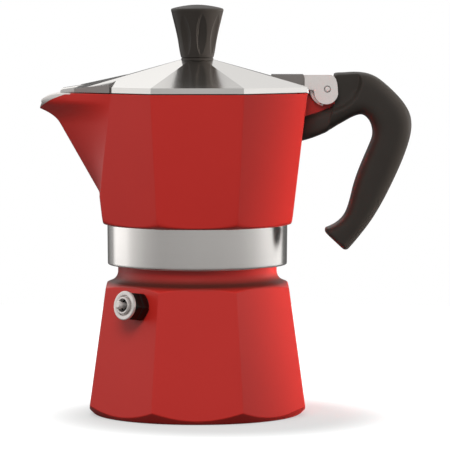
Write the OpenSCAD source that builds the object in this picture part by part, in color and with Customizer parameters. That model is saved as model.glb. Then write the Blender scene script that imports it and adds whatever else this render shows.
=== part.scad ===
// Stovetop moka pot: faceted boiler, funnel, screwed upper chamber, hinged lid.
// Millimetres. +Z is up, the handle points along +X and the spout along -X.
// The origin is the centre of the flat face that the boiler stands on.

/* [Boiler] */
// Width across the flats at the foot of the boiler
boiler_flats = 86.8; // [84:0.1:92]
// Width across the flats at the shoulder of the boiler
shoulder_flats = 72.6; // [71:0.1:76]
// Height of the shoulder above the base
boiler_h = 51.9; // [46:0.1:60]
// Width of the turned chamfer round the foot
foot_chamfer = 1.8; // [1:0.1:3]
// Thickness of the side wall
boiler_wall = 3.2; // [2.4:0.1:4]
// Thickness of the floor
boiler_floor = 4; // [3:0.1:6]
// Slope of the shoulder, in degrees
shoulder_angle = 22; // [16:1:28]
// Radius of the cove between shoulder and neck
cove_r = 4.2; // [3:0.1:5]

/* [Screwed joint] */
// Radius of the neck under its thread
neck_r = 31; // [30.4:0.1:31.6]
// Wall of the neck
neck_wall = 3.7; // [3.2:0.1:4.4]
// Rise of the neck above the shoulder
neck_rise = 18.1; // [16.5:0.1:20]
// Height of the thread form
thread_h = 0.9; // [0.6:0.1:1]
// Radial clearance of the thread
thread_gap = 0.3; // [0.2:0.05:0.4]
// Length of neck that the skirt covers
thread_len = 10.2; // [9:0.1:11]

/* [Funnel and seals] */
// Diameter of the funnel's flange
flange_d = 60; // [58.5:0.1:60.6]
// Sheet thickness of the funnel
funnel_t = 0.9; // [0.7:0.1:1.2]
// Gap between the funnel's basket and the neck
basket_gap = 1.3; // [0.8:0.1:2]
// Depth of the coffee basket
basket_depth = 21; // [16:0.5:23]
// Height of the cone below the basket
cone_h = 8; // [6:0.5:10]
// Diameter of the funnel's tube
tube_d = 11.2; // [9:0.1:13]
// Gap between the tube and the boiler's floor
tube_gap = 2; // [1.5:0.1:4]
// Radius of each hole in the funnel's plate
plate_hole_r = 0.8; // [0.5:0.1:0.9]
// Thickness of the gasket
gasket_t = 4.5; // [3.5:0.1:5]
// Inner diameter of the gasket
gasket_id = 52; // [50:0.1:53]
// Depth of the groove that holds the gasket
gasket_groove = 0.4; // [0.2:0.05:0.5]
// Thickness of the filter plate
filter_t = 0.8; // [0.6:0.1:1.2]
// Width of the rim by which the gasket holds the filter plate
filter_land = 2; // [1.2:0.1:2.6]
// Radius of each hole in the filter plate
filter_hole_r = 0.7; // [0.4:0.1:0.8]

/* [Upper chamber] */
// Radius of the bare metal collar at its top
collar_r = 36.05; // [35.6:0.05:36.4]
// Height of the bare metal collar
collar_h = 16.2; // [15.6:0.1:17.4]
// Width across the flats at the bottom of the chamber
chamber_flats = 76; // [75:0.1:78]
// Width across the flats at the rim
rim_flats = 88.4; // [86:0.1:92]
// Height of the chamber from collar to rim
chamber_h = 52.5; // [48:0.5:58]
// Thickness of the chamber's wall
chamber_wall = 2.6; // [2:0.1:3.2]
// Thickness of the chamber's floor
chamber_floor = 4; // [3:0.1:5]
// Radius of the column at its foot
column_r = 6.5; // [6:0.1:7.5]
// Radius of the column at its top
column_top_r = 5.2; // [4.8:0.1:6]
// Radius of the passage up the column
column_bore_r = 3.4; // [2.8:0.1:3.8]
// Gap between the top of the column and the rim
column_drop = 7.5; // [6:0.5:12]

/* [Spout] */
// Reach of the spout's tip from the rim
spout_reach = 19.8; // [16:0.2:22]
// Drop of the tip below the rim
spout_drop = 6; // [4.5:0.1:7]
// Height of the foot of the spout below the rim
spout_h = 40.6; // [34:0.2:44]
// Width that the spout takes from the facets beside it, at the rim
spout_spread = 9.8; // [8:0.1:11]
// Wall of the spout
spout_wall = 2.4; // [2:0.1:2.8]

/* [Hinge and handle] */
// Reach of the hinge axis from the rim
hinge_reach = 7.5; // [7.2:0.1:9]
// Height of the hinge axis above the rim
hinge_rise = 1.5; // [1.2:0.1:2]
// Radius of the hinge pin
pin_r = 1.25; // [1:0.05:1.5]
// Radial clearance of the pin in the lid's ears
pin_gap = 0.05; // [0.02:0.01:0.08]
// Thickness of each ear
ear_t = 2.1; // [1.6:0.1:2.4]
// Space between the ears
ear_space = 13.6; // [13:0.1:14.6]
// Side clearance inside the hinge
hinge_gap = 0.3; // [0.2:0.05:0.5]
// Thickness of the lug that carries the handle
lug_t = 8; // [6:0.1:9]
// Thickness of the handle where it is fullest
handle_t = 18.4; // [18:0.1:20]
// Clearance of the lug in the handle's slot
slot_gap = 0.1; // [0.05:0.01:0.2]
// Radius of the handle screw
handle_screw_r = 1.5; // [1.2:0.1:1.8]

/* [Lid and knob] */
// Gap between rim and lid
lid_gap = 0.4; // [0.3:0.05:0.6]
// Height of the lid's upright edge
lid_band = 2.3; // [1.8:0.1:3]
// Rise of the lid from its edge to the knob
lid_rise = 10.3; // [8.5:0.1:12]
// Thickness of the lid
lid_t = 1.8; // [1.4:0.1:2.2]
// Radius of the flat on which the knob stands
knob_seat_r = 7; // [6.8:0.1:8]
// Height of the knob
knob_h = 22; // [18:0.5:25]
// Radius of the knob at its widest
knob_r = 10.5; // [9.8:0.1:12]
// Radius of the knob just above its foot
knob_foot_r = 6.5; // [6:0.1:6.8]
// Radius of the knob's screw
knob_screw_r = 1.9; // [1.5:0.1:2.2]

/* [Safety valve] */
// Height of the valve's centre on the wall
valve_z = 45.1; // [38:0.1:46]
// Distance of the valve from the middle of its facet
valve_offset = 5.4; // [0:0.1:6]
// Width across the flats of the valve's hexagon
valve_flats = 10.4; // [9.8:0.1:11.5]
// Reach of the valve body from the wall
valve_reach = 8; // [7:0.1:9.5]
// Radius of the bright ring
valve_ring_r = 5.75; // [5.4:0.05:6]
// Radius of the valve's pin
valve_pin_r = 1.2; // [1:0.05:1.4]
// Radius of the valve's threaded shank
valve_shank_r = 4.2; // [4:0.1:4.6]
// Radius of the spring chamber
valve_chamber_r = 3.2; // [3:0.1:3.4]

/* [Hidden] */

facets = 8;
round_fn = 96;
eps = 0.01;
fit = 0.03;                              // radial clearance of a fixed round fit
corner = 1 / cos(180 / facets);          // corner radius over flat radius

paint_red = [0.68, 0.19, 0.17];
bare_metal = [0.80, 0.79, 0.77];
dark_metal = [0.20, 0.20, 0.20];
black_plastic = [0.13, 0.12, 0.11];
brass = [0.72, 0.58, 0.30];
seal_white = [0.90, 0.89, 0.85];

// Heights, from the base upwards
neck_top = boiler_h + neck_rise;
collar_z = neck_top - thread_len;
flange_top = neck_top + funnel_t;
gasket_top = flange_top + gasket_t;
filter_top = gasket_top + filter_t;
collar_top = collar_z + collar_h;
floor_z = filter_top + chamber_floor;
rim_z = collar_top + chamber_h;
lid_z = rim_z + lid_gap;
lid_edge_z = lid_z + lid_band;
lid_top = lid_edge_z + lid_rise;

// Radii of the screwed joint, from the inside out
neck_bore = neck_r - neck_wall;
basket_r = neck_bore - basket_gap;
skirt_bore = neck_r + thread_h + thread_gap;
neck_base_r = neck_r + thread_h - 0.1;
gasket_r = skirt_bore + gasket_groove;
filter_r = gasket_id / 2 + filter_land;
tube_r = tube_d / 2;
tube_foot = boiler_floor + tube_gap;
basket_floor = neck_top - basket_depth;
tube_top = basket_floor - cone_h;

rim_r = rim_flats / 2;
hinge_x = rim_r + hinge_reach;
hinge_z = rim_z + hinge_rise;
knuckle_half = ear_space / 2 - hinge_gap;
ear_out = ear_space / 2 + ear_t;

// Flat radius of each chamber at height z
function boiler_flat(z) = (boiler_flats + (shoulder_flats - boiler_flats) * z / boiler_h) / 2;
function chamber_flat(z) = (chamber_flats + (rim_flats - chamber_flats) * (z - collar_top) / chamber_h) / 2;

function arc(cx, cy, r, from, to, steps) =
    [for (i = [0:steps]) let (t = from + (to - from) * i / steps) [cx + r * cos(t), cy + r * sin(t)]];

// Ring of corners of an upright faceted shape
function flat_ring(z, flat) =
    [for (i = [0:facets - 1])
        let (t = 360 * (i + 0.5) / facets)
        [flat * corner * cos(t), flat * corner * sin(t), z]];

// Closed solid through rings that have the same number of points, lowest ring first
module skin(rings) {
    n = len(rings[0]);
    m = len(rings);
    points = [for (ring = rings) each ring];
    bottom = [for (i = [0:n - 1]) i];
    top = [for (i = [0:n - 1]) (m - 1) * n + n - 1 - i];
    sides = [for (j = [0:m - 2], i = [0:n - 1]) let (k = (i + 1) % n)
        each [[j * n + i, (j + 1) * n + i, (j + 1) * n + k], [j * n + i, (j + 1) * n + k, j * n + k]]];
    polyhedron(points, concat([bottom, top], sides), convexity = 8);
}

// Profile given as [radius, height], turned about the axis
module turned(profile) {
    rotate_extrude($fn = round_fn) polygon(profile);
}

module disc(z, h, r) {
    translate([0, 0, z]) cylinder(h = h, r = r, $fn = round_fn);
}

// Outline given as [x, z], extruded along Y to both sides of the middle
module side_plate(outline, half) {
    translate([0, half, 0]) rotate([90, 0, 0]) linear_extrude(2 * half) polygon(outline);
}

// Places children along the hinge axis: their Z runs along -Y
module at_hinge() {
    translate([hinge_x, 0, hinge_z]) rotate([90, 0, 0]) children();
}

// ---------------------------------------------------------------- boiler

module boiler() {
    outer_r = boiler_flats / 2 * corner + 1;
    foot_r = boiler_flats / 2 - foot_chamfer;
    shoulder_r = shoulder_flats / 2;
    cove_x = neck_base_r + cove_r;
    cove_touch = [cove_x - cove_r * sin(shoulder_angle),
        boiler_h + 0.6 + (shoulder_r - cove_x + cove_r * sin(shoulder_angle)) * tan(shoulder_angle)];
    cove_z = cove_touch[1] + cove_r * cos(shoulder_angle);
    inner_foot = boiler_flat(boiler_floor) - boiler_wall;
    corner_r = 4;
    inner_top = boiler_flat(boiler_h - 4) - boiler_wall;
    color(paint_red)
    difference() {
        intersection() {
            skin([flat_ring(0, boiler_flat(0)), flat_ring(boiler_h, boiler_flat(boiler_h)),
                flat_ring(neck_top, boiler_flat(boiler_h))]);
            turned(concat(
                [[0, 0], [foot_r, 0], [outer_r, outer_r - foot_r],
                    [outer_r, boiler_h + 0.6 - (outer_r - shoulder_r) * tan(shoulder_angle)]],
                arc(cove_x, cove_z, cove_r, 270 - shoulder_angle, 180, 8),
                [[neck_base_r, collar_z - 1.5], [neck_r, collar_z - 0.7], [neck_r, neck_top],
                    [0, neck_top]]));
        }
        turned(concat(
            [[0, boiler_floor]],
            arc(inner_foot - corner_r, boiler_floor + corner_r, corner_r, -90, 0, 5),
            [[inner_top, boiler_h - 4], [neck_bore, boiler_h + 1], [neck_bore, neck_top + 1],
                [0, neck_top + 1]]));
        at_valve() translate([0, 0, -boiler_wall * 3])
            cylinder(h = boiler_wall * 6, r = valve_shank_r + fit, $fn = 48);
    }
}

// ---------------------------------------------------------------- safety valve

facet_slope = atan((boiler_flats - shoulder_flats) / 2 / boiler_h);
valve_flat = boiler_flat(valve_z);
washer_t = 0.6;
seat_w = -2.5;
seal_t = 1.2;
head_t = 1.5;
plug_t = 0.6;
ring_t = 0.9;
tip_reach = 4.4;
valve_tail = -6;

// Places children on the front left facet: Z leaves the wall, X runs along the facet
module at_valve() {
    rotate([0, 0, 225])
        translate([valve_flat, valve_offset, valve_z])
            rotate([0, 90 - facet_slope, 0]) children();
}

module valve_washer() {
    color(dark_metal)
    at_valve()
        difference() {
            cylinder(h = washer_t, r = valve_flats / 2 - 0.2, $fn = 48);
            translate([0, 0, -1]) cylinder(h = washer_t + 2, r = valve_shank_r + fit, $fn = 48);
        }
}

module valve_body() {
    color(dark_metal)
    at_valve()
        difference() {
            union() {
                translate([0, 0, washer_t])
                    cylinder(h = valve_reach - washer_t, r = valve_flats / 2 / cos(30), $fn = 6);
                translate([0, 0, valve_tail])
                    cylinder(h = washer_t - valve_tail + 1, r = valve_shank_r, $fn = 48);
            }
            translate([0, 0, seat_w]) cylinder(h = valve_reach, r = valve_chamber_r, $fn = 48);
            translate([0, 0, seat_w]) cylinder(h = valve_reach - seat_w + 1, r = valve_chamber_r, $fn = 48);
            translate([0, 0, valve_tail - 1])
                cylinder(h = seat_w - valve_tail + 2, r = valve_pin_r + 0.4, $fn = 32);
        }
}

module valve_retainer() {
    hole_r = valve_pin_r + 0.05;
    groove_r = valve_ring_r - 0.9;
    inner_r = valve_pin_r + 2.1;
    color(bare_metal)
    at_valve() translate([0, 0, valve_reach])
        rotate_extrude($fn = 64) polygon([
            [hole_r, -plug_t], [valve_chamber_r - fit, -plug_t],
            [valve_chamber_r - fit, 0], [valve_ring_r, 0],
            [valve_ring_r, ring_t - 0.25], [valve_ring_r - 0.25, ring_t], [groove_r, ring_t],
            [groove_r - 0.2, 0.3], [inner_r + 0.9, 0.3], [inner_r + 0.8, ring_t - 0.15],
            [inner_r, ring_t - 0.15], [inner_r - 0.1, 0.1], [hole_r, 0.1]]);
}

module valve_seal() {
    color(seal_white)
    at_valve() translate([0, 0, seat_w]) cylinder(h = seal_t, r = valve_chamber_r - 0.3, $fn = 48);
}

module valve_stem() {
    stem_tip = valve_reach + tip_reach;
    head_z = seat_w + seal_t;
    tip_r = valve_pin_r + 0.35;
    color(bare_metal)
    at_valve() rotate_extrude($fn = 48) polygon([
        [0, head_z], [valve_chamber_r - 0.2, head_z], [valve_chamber_r - 0.2, head_z + head_t],
        [valve_pin_r, head_z + head_t], [valve_pin_r, stem_tip - 1.7], [tip_r, stem_tip - 1.4],
        [tip_r, stem_tip - 0.5], [tip_r - 0.5, stem_tip], [0, stem_tip]]);
}

module valve_spring() {
    wire_r = 0.28;
    coil_r = valve_pin_r + 1.1;
    turns = 6;
    steps = 14;
    sides = 6;
    low = seat_w + seal_t + head_t + wire_r;
    high = valve_reach - plug_t - wire_r;
    rings = [for (i = [0:turns * steps])
        let (t = 360 * i / steps, w = low + (high - low) * i / (turns * steps))
        [for (k = [0:sides - 1]) let (u = 360 * k / sides)
            [(coil_r + wire_r * cos(u)) * cos(t), (coil_r + wire_r * cos(u)) * sin(t), w + wire_r * sin(u)]]];
    color(bare_metal)
    at_valve() skin(rings);
}

// ---------------------------------------------------------------- funnel

module funnel() {
    in_r = basket_r - funnel_t;
    tube_in = tube_r - funnel_t;
    color(bare_metal)
    turned([
        [tube_in, tube_foot], [tube_r, tube_foot], [tube_r, tube_top], [basket_r, basket_floor],
        [basket_r, neck_top], [flange_d / 2, neck_top], [flange_d / 2, flange_top],
        [in_r, flange_top], [in_r, basket_floor + funnel_t],
        [basket_r - 3 * funnel_t, basket_floor + funnel_t],
        [tube_in, tube_top + 0.4]]);
}

// Rows of holes on circles about the axis, the outermost within reach of limit
module hole_rows(hole_r, limit) {
    pitch = 4.6;
    rows = floor((limit - hole_r) / pitch);
    circle(r = hole_r, $fn = 16);
    for (i = [1:rows])
        for (k = [0:6 * i - 1])
            rotate(360 * k / (6 * i)) translate([i * pitch, 0]) circle(r = hole_r, $fn = 16);
}

module funnel_plate() {
    plate_r = basket_r - funnel_t - 0.1;
    color(bare_metal)
    translate([0, 0, basket_floor + funnel_t]) linear_extrude(funnel_t)
        difference() {
            circle(r = plate_r, $fn = round_fn);
            hole_rows(plate_hole_r, plate_r - 3);
        }
}

module gasket() {
    color(seal_white)
    difference() {
        disc(flange_top, gasket_t, gasket_r - fit);
        disc(flange_top - 1, gasket_t + 2, gasket_id / 2);
    }
}

module filter_plate() {
    color(bare_metal)
    translate([0, 0, gasket_top]) linear_extrude(filter_t)
        difference() {
            circle(r = filter_r, $fn = round_fn);
            hole_rows(filter_hole_r, gasket_id / 2 - 2);
        }
}

// ---------------------------------------------------------------- upper chamber

hub_r = column_r + 2;
hub_top = floor_z + 7;
cup_mouth_r = gasket_id / 2 + 0.5;
cup_r = column_r - 1.5;
cup_rise = 4.8;
cup_top = filter_top + cup_rise;

spout_foot_x = chamber_flat(rim_z - spout_h);
spout_neck_x = rim_r + 10.5;             // reach of the keel where it starts to sweep out to the tip
spout_neck_drop = 12.6;
spout_tip_x = rim_r + spout_reach;
lip_len = 10;

// Reach of the spout's keel, its lowest line, at a depth below the rim
function keel_x(down) =
    down >= spout_h ? chamber_flat(rim_z - down)
        : down >= spout_neck_drop
            ? spout_foot_x + (spout_neck_x - spout_foot_x) * (spout_h - down) / (spout_h - spout_neck_drop)
            : spout_neck_x + (spout_tip_x - spout_neck_x)
                * pow((spout_neck_drop - max(down, spout_drop)) / (spout_neck_drop - spout_drop), 1.35);

// Distance from the axis at which the flanks of the spout leave their facets
function crease_x(down, flat) =
    let (foot = flat, top = flat - spout_spread) foot + (top - foot) * max(0, 1 - down / spout_h);

// Level ring of the chamber with its spout at a depth below the rim, the spout cut off at reach
function chamber_ring(down, flat, keel, reach) =
    let (z = rim_z - down, crease = crease_x(down, flat), wide = flat * sqrt(2) - crease,
        end = keel - crease < 0.01 ? 0.97 : min((reach - crease) / (keel - crease), 0.97),
        tip = crease + (keel - crease) * end,
        flank = [for (share = [0, 0.3, 0.6, 0.85, 1])
            [-crease - (tip - crease) * share, wide * (1 - end * share)]],
        corners = [for (i = [0:facets - 1]) let (t = 360 * (i + 0.5) / facets)
            [flat * corner * cos(t), flat * corner * sin(t), z]])
    concat(
        [for (i = [0:facets / 2 - 2]) corners[i]],
        [for (p = flank) [p[0], p[1], z]],
        [for (i = [len(flank) - 1:-1:0]) [flank[i][0], -flank[i][1], z]],
        [for (i = [facets / 2 + 1:facets - 1]) corners[i]]);

// Outside of the chamber: rounded foot, facets, spout with its sweep, then the round pouring lip
module chamber_outside() {
    foot = [for (step = [[0, 1.9], [0.3, 1.2], [0.9, 0.6], [2.2, 0], [4, 0]])
        let (down = chamber_h - step[0], flat = chamber_flat(rim_z - down) - step[1])
            chamber_ring(down, flat, flat, flat)];
    low = [for (down = [spout_h, 34, 28, 22, 17, spout_neck_drop, 10.5, 8.8, 7.4])
        chamber_ring(down, chamber_flat(rim_z - down), keel_x(down), spout_tip_x)];
    lip = [for (t = [0:15:90]) let (down = spout_drop * (1 - sin(t)))
        chamber_ring(down, chamber_flat(rim_z - down), spout_tip_x, spout_tip_x - lip_len * (1 - cos(t)))];
    skin(concat(foot, low, lip));
}

module chamber_inside() {
    levels = [spout_h - 2, 30, 22, 17, spout_neck_drop, 10.5, 8.8, spout_drop, -1];
    low_down = rim_z - floor_z + 3;
    low_flat = chamber_flat(rim_z - low_down) - chamber_wall;
    skin(concat(
        [chamber_ring(low_down, low_flat, low_flat, low_flat)],
        [for (down = levels) let (flat = chamber_flat(rim_z - down) - chamber_wall)
            chamber_ring(down, flat, max(keel_x(down) - spout_wall * 1.35, flat), spout_tip_x)]));
}

lug_reach = 22.8;

// Outline of the lug, as [x, z] from the rim's edge, grown by gap where it sits in the handle
function lug_outline(gap) =
    [for (p = [[-4.2, -15.5 - gap], [9.8, -9 - gap], [lug_reach + gap, -6 - gap], [lug_reach + gap, 1 + gap],
        [12.4, 2 + gap], [11.4, -3.4 + gap], [-0.7, -0.1 + gap], [-4.2, -0.1 + gap]])
            [rim_r + p[0], rim_z + p[1]]];

knuckle_r = pin_r + 2.5;

module collector() {
    foot_out = chamber_flat(collar_top) * corner + 1 - collar_r;
    foot_round = 3.5;
    color(paint_red)
    difference() {
        union() {
            intersection() {
                chamber_outside();
                turned(concat(
                    [[0, collar_top], [collar_r, collar_top]],
                    [for (t = [15:15:90])
                        [collar_r + foot_out * sin(t), collar_top + foot_round * (1 - cos(t))]],
                    [[spout_tip_x + 1, collar_top + 24], [spout_tip_x + 1, rim_z + 1], [0, rim_z + 1]]));
            }
            turned([[0, collar_z], [collar_r - 0.25, collar_z], [collar_r, collar_top], [0, collar_top]]);
            side_plate(lug_outline(0), lug_t / 2);
            at_hinge() translate([0, 0, -knuckle_half])
                cylinder(h = 2 * knuckle_half, r = knuckle_r, $fn = 48);
            translate([hinge_x - 3, -knuckle_half, hinge_z - 6]) cube([6, 2 * knuckle_half, 6]);
        }
        // Inside of the chamber, its floor rising to the column
        intersection() {
            chamber_inside();
            turned([[0, floor_z + 4], [hub_r, floor_z + 4], [hub_r + 6, floor_z + 2],
                [gasket_id / 2 + 2, floor_z], [skirt_bore, floor_z], [skirt_bore + 3, floor_z + 2.5],
                [spout_tip_x, floor_z + 22], [spout_tip_x, rim_z + 2], [0, rim_z + 2]]);
        }
        // Threaded skirt, gasket groove, filter seat, cup over the filter and hole for the column's foot
        disc(collar_z - 1, flange_top - collar_z + 1, skirt_bore);
        disc(flange_top - eps, gasket_t + eps, gasket_r);
        disc(gasket_top - eps, filter_t + eps, filter_r + 0.2);
        turned([[0, filter_top - eps], [cup_mouth_r, filter_top - eps], [cup_r, cup_top], [0, cup_top]]);
        disc(filter_top, hub_top - filter_top, hub_r + fit);
        at_hinge() translate([0, 0, -knuckle_half - 1])
            cylinder(h = 2 * knuckle_half + 2, r = pin_r + fit, $fn = 48);
        translate([rim_r + handle_screw_x, 0, rim_z - 14])
            cylinder(h = 12, r = handle_screw_r + fit, $fn = 32);
    }
}

module column() {
    foot_z = cup_top - cup_rise * (hub_r - cup_r) / (cup_mouth_r - cup_r);
    top_z = rim_z - column_drop;
    slot_h = 7;
    slot_w = 5;
    color(bare_metal)
    difference() {
        turned([[0, cup_top], [cup_r, cup_top], [hub_r, foot_z], [hub_r, hub_top], [column_r, hub_top],
            [column_r, hub_top + 2], [column_top_r, top_z - 2], [column_top_r - 1.6, top_z], [0, top_z]]);
        disc(foot_z - 1, top_z - foot_z - 2, column_bore_r);
        translate([-slot_w / 2, -column_r, top_z - 4 - slot_h]) cube([slot_w, 2 * column_r, slot_h]);
    }
}

// ---------------------------------------------------------------- handle

handle_screw_x = 15;
cheek_half = ear_space / 2 - 0.6;
cheek_r = 13.8;

// Stations along the handle, from the rim's edge:
// [outer x, outer z, inner x, inner z, share of full thickness]
handle_stations = [
    [10.3, -5.4, 8.7, -14.6, 0.88],
    [11.1, 7.8, 11.9, -12.9, 1],
    [14.7, 8, 14.7, -11.4, 1],
    [18.7, 8.3, 17.5, -9.8, 1],
    [22.7, 8, 19.9, -8.9, 1],
    [28.7, 5.4, 22.3, -9, 1],
    [32.7, 2, 24.3, -10.4, 1],
    [36.7, -2, 25.3, -12.4, 1],
    [40.3, -7, 25.8, -14.4, 0.99],
    [41.5, -12.6, 25.9, -16.2, 0.98],
    [40.3, -19.8, 24.7, -19.4, 0.97],
    [36.7, -29.4, 21.3, -27.6, 0.94],
    [32.3, -39, 18.7, -35.4, 0.9],
    [28.7, -45.8, 17.5, -40.2, 0.87],
    [25.1, -51.6, 16.1, -45.6, 0.84],
    [21.9, -55.8, 13.9, -50.2, 0.82],
    [18.7, -59.8, 9.9, -53, 0.8],
    [15.9, -63, 6.7, -54.2, 0.78],
    [12.7, -63.6, 6.1, -55.2, 0.74],
    [9.6, -61, 7.2, -57.6, 0.5]];

// Rounded section between an outer and an inner point
function handle_section(outer, inner, half) =
    let (mid = (outer + inner) / 2, arm = (outer - inner) / 2, power = 0.72)
    [for (i = [0:19]) let (t = 360 * i / 20, u = sign(cos(t)) * pow(abs(cos(t)), power),
            v = sign(sin(t)) * pow(abs(sin(t)), power))
        [mid[0] + arm[0] * u, half * v, mid[1] + arm[1] * u]];

module handle() {
    root_top = rim_z - 9;
    root_low = rim_z - 19.4;
    root_half = handle_t * 0.36;
    root = handle_section([chamber_flat(root_top), root_top], [chamber_flat(root_low), root_low], root_half);
    rest = [for (s = handle_stations)
        handle_section([rim_r + s[0], rim_z + s[1]], [rim_r + s[2], rim_z + s[3]], handle_t / 2 * s[4])];
    screw_hole_x = rim_r + handle_screw_x;
    color(black_plastic)
    difference() {
        skin(concat([root], rest));
        side_plate(lug_outline(slot_gap), lug_t / 2 + slot_gap);
        for (side = [-1, 1])
            translate([rim_r + hinge_reach - 0.2, side * (cheek_half + 5), hinge_z + 5])
                rotate([90, 0, 0]) cylinder(h = 10, r = cheek_r, center = true, $fn = 64);
        at_hinge() translate([0, 0, -knuckle_half - 2])
            cylinder(h = 2 * knuckle_half + 4, r = knuckle_r + 0.4, $fn = 48);
        translate([hinge_x - 3.4, -knuckle_half - 1, hinge_z - 6.4]) cube([6.8, 2 * knuckle_half + 2, 6.4]);
        translate([screw_hole_x, 0, rim_z - 14]) cylinder(h = 12, r = handle_screw_r + 0.2, $fn = 32);
        translate([screw_hole_x, 0, rim_z - 18]) cylinder(h = 9.6, r = handle_screw_r + 1.6, $fn = 32);
    }
}

module handle_screw() {
    head_z = rim_z - 8.4;
    color(bare_metal)
    translate([rim_r + handle_screw_x, 0, 0])
        difference() {
            union() {
                translate([0, 0, head_z - 1.4]) cylinder(h = 1.4, r = handle_screw_r + 1.4, $fn = 32);
                translate([0, 0, head_z - 1]) cylinder(h = 6.5, r = handle_screw_r, $fn = 32);
            }
            translate([-0.4, -4, head_z - 1.5]) cube([0.8, 8, 0.7]);
        }
}

module hinge_pin() {
    color(bare_metal)
    at_hinge() translate([0, 0, -ear_out - 0.1]) cylinder(h = 2 * ear_out + 0.2, r = pin_r, $fn = 48);
}

// ---------------------------------------------------------------- lid

nose_back = rim_r - 28.7;
nose_step = rim_r + 4.9;
nose_tip = rim_r + 10.5;

function lid_surface(x) = lid_edge_z + lid_rise * (rim_r - x) / (rim_r - knob_seat_r);

// Upright slice of the roof over the spout at x: its edges stand at half, its ridge in the middle
function nose_slice(x, half, low, edge, ridge) =
    [[x, -half, low], [x, -half, edge], [x, 0, ridge], [x, half, edge], [x, half, low]];

// Roof over the spout, cut back from its outside by inset
module lid_nose(inset) {
    low = lid_z - inset;
    edge = lid_edge_z - inset;
    side = [rim_r - spout_spread, rim_r * (sqrt(2) - 1) + spout_spread] - [inset, inset];
    ridge_back = lid_surface(nose_back + 1) - 0.3 - inset;
    ridge_front = edge + 0.2;
    ridge_fall = (ridge_front - ridge_back) / (nose_step - nose_back - 1);
    ridge_side = ridge_back + ridge_fall * (side[0] - nose_back - 1);
    skin([nose_slice(-nose_back - 1, side[1] * 0.5, low, edge, ridge_back),
        nose_slice(-side[0], side[1], low, edge - 0.2, ridge_side),
        nose_slice(-nose_step + inset, 13.2 - inset, low, edge - 1.2, ridge_front)]);
}

// Narrow tongue in front of the roof
module lid_tongue(inset) {
    low = lid_z - inset;
    top = lid_edge_z - 1.1 - inset;
    side_plate([[-nose_step + 6, low], [-nose_tip + inset, low], [-nose_tip + inset, top - 0.7],
        [-nose_step + 6, top + 0.9]], 5.6 - inset);
}

// Side outline of an ear about the hinge pin, as [x, z] from the pin
ear_outline = [[-8.5, 1.6], [-7.1, 0.2], [-4.6, 0.2], [-4.6, -1.4],
    [5, -1.4], [5, 4.6], [4.1, 5.6], [-8.1, 5.6]];

module lid() {
    rib_half = ear_out - 1;
    rib_top = hinge_z + 5.7;
    rib_back = rim_r - 14.5;
    ear_foot_r = 4.8;
    color(bare_metal)
    difference() {
        union() {
            skin([flat_ring(lid_z, rim_r), flat_ring(lid_edge_z, rim_r), flat_ring(lid_top, knob_seat_r)]);
            lid_nose(0);
            lid_tongue(0);
            side_plate([[rib_back, lid_edge_z], [hinge_x - 6.2, lid_edge_z - 1.2],
                [hinge_x - 6.2, hinge_z + 1.2], [hinge_x - 10.4, rib_top], [rib_back, rib_top]], rib_half);
            for (side = [-1, 1])
                translate([hinge_x, side * (ear_out - ear_t / 2), hinge_z]) {
                    side_plate(ear_outline, ear_t / 2);
                    translate([0.2, 0, -1.4]) rotate([90, 0, 0])
                        cylinder(h = ear_t, r = ear_foot_r, center = true, $fn = 48);
                }
        }
        skin([flat_ring(lid_z - 1, rim_r - lid_t), flat_ring(lid_edge_z - lid_t, rim_r - lid_t),
            flat_ring(lid_top - lid_t, knob_seat_r - 1)]);
        lid_nose(lid_t);
        lid_tongue(lid_t);
        disc(lid_z, lid_top, knob_screw_r + 0.2);
        at_hinge() translate([0, 0, -ear_out - 1])
            cylinder(h = 2 * ear_out + 2, r = pin_r + pin_gap, $fn = 48);
    }
}

// ---------------------------------------------------------------- knob

insert_r = knob_screw_r + 0.9;
insert_z = lid_top + 1;
insert_h = 9;

module knob() {
    grip = knob_h - 4;
    flute_r = 4.2;
    flute_turn = 15;
    lean = atan((knob_r - knob_foot_r - 0.4) / grip);
    color(black_plastic)
    difference() {
        turned([[0, lid_top], [knob_foot_r, lid_top],
            [knob_foot_r, lid_top + 1.5], [knob_foot_r + 0.4, lid_top + 1.8],
            [knob_foot_r + 0.8, lid_top + 0.2 * knob_h], [knob_foot_r + 2.1, lid_top + 0.53 * knob_h],
            [knob_foot_r + 2.9, lid_top + 0.69 * knob_h], [knob_r, lid_top + 0.9 * knob_h],
            [knob_r - 0.2, lid_top + 0.93 * knob_h], [knob_r - 1.6, lid_top + 0.96 * knob_h],
            [knob_r - 4.5, lid_top + 0.99 * knob_h], [0, lid_top + knob_h]]);
        for (i = [0:facets - 1])
            rotate([0, 0, flute_turn + 360 * i / facets])
                translate([knob_foot_r + flute_r - 0.1, 0, lid_top + 4]) rotate([0, lean, 0]) {
                    cylinder(h = grip - 4.5, r = flute_r, $fn = 32);
                    sphere(r = flute_r, $fn = 32);
                }
        disc(lid_top - 1, insert_h + 2.4, insert_r + fit);
    }
}

module knob_insert() {
    color(brass)
    difference() {
        disc(insert_z, insert_h, insert_r);
        disc(insert_z - 1, insert_h + 2, knob_screw_r + fit);
    }
}

module knob_washer() {
    washer_z = lid_top - lid_t - 0.6;
    color(bare_metal)
    difference() {
        disc(washer_z, 0.6, knob_screw_r + 2.2);
        disc(washer_z - 1, 3, knob_screw_r + 0.15);
    }
}

module knob_screw() {
    head_z = lid_top - lid_t - 0.6;
    color(bare_metal)
    difference() {
        union() {
            disc(head_z - 1.6, 1.6, knob_screw_r + 1.7);
            disc(head_z - 1, insert_z + insert_h - head_z, knob_screw_r);
        }
        translate([-4, -0.5, head_z - 1.7]) cube([8, 1, 0.9]);
    }
}

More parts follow.
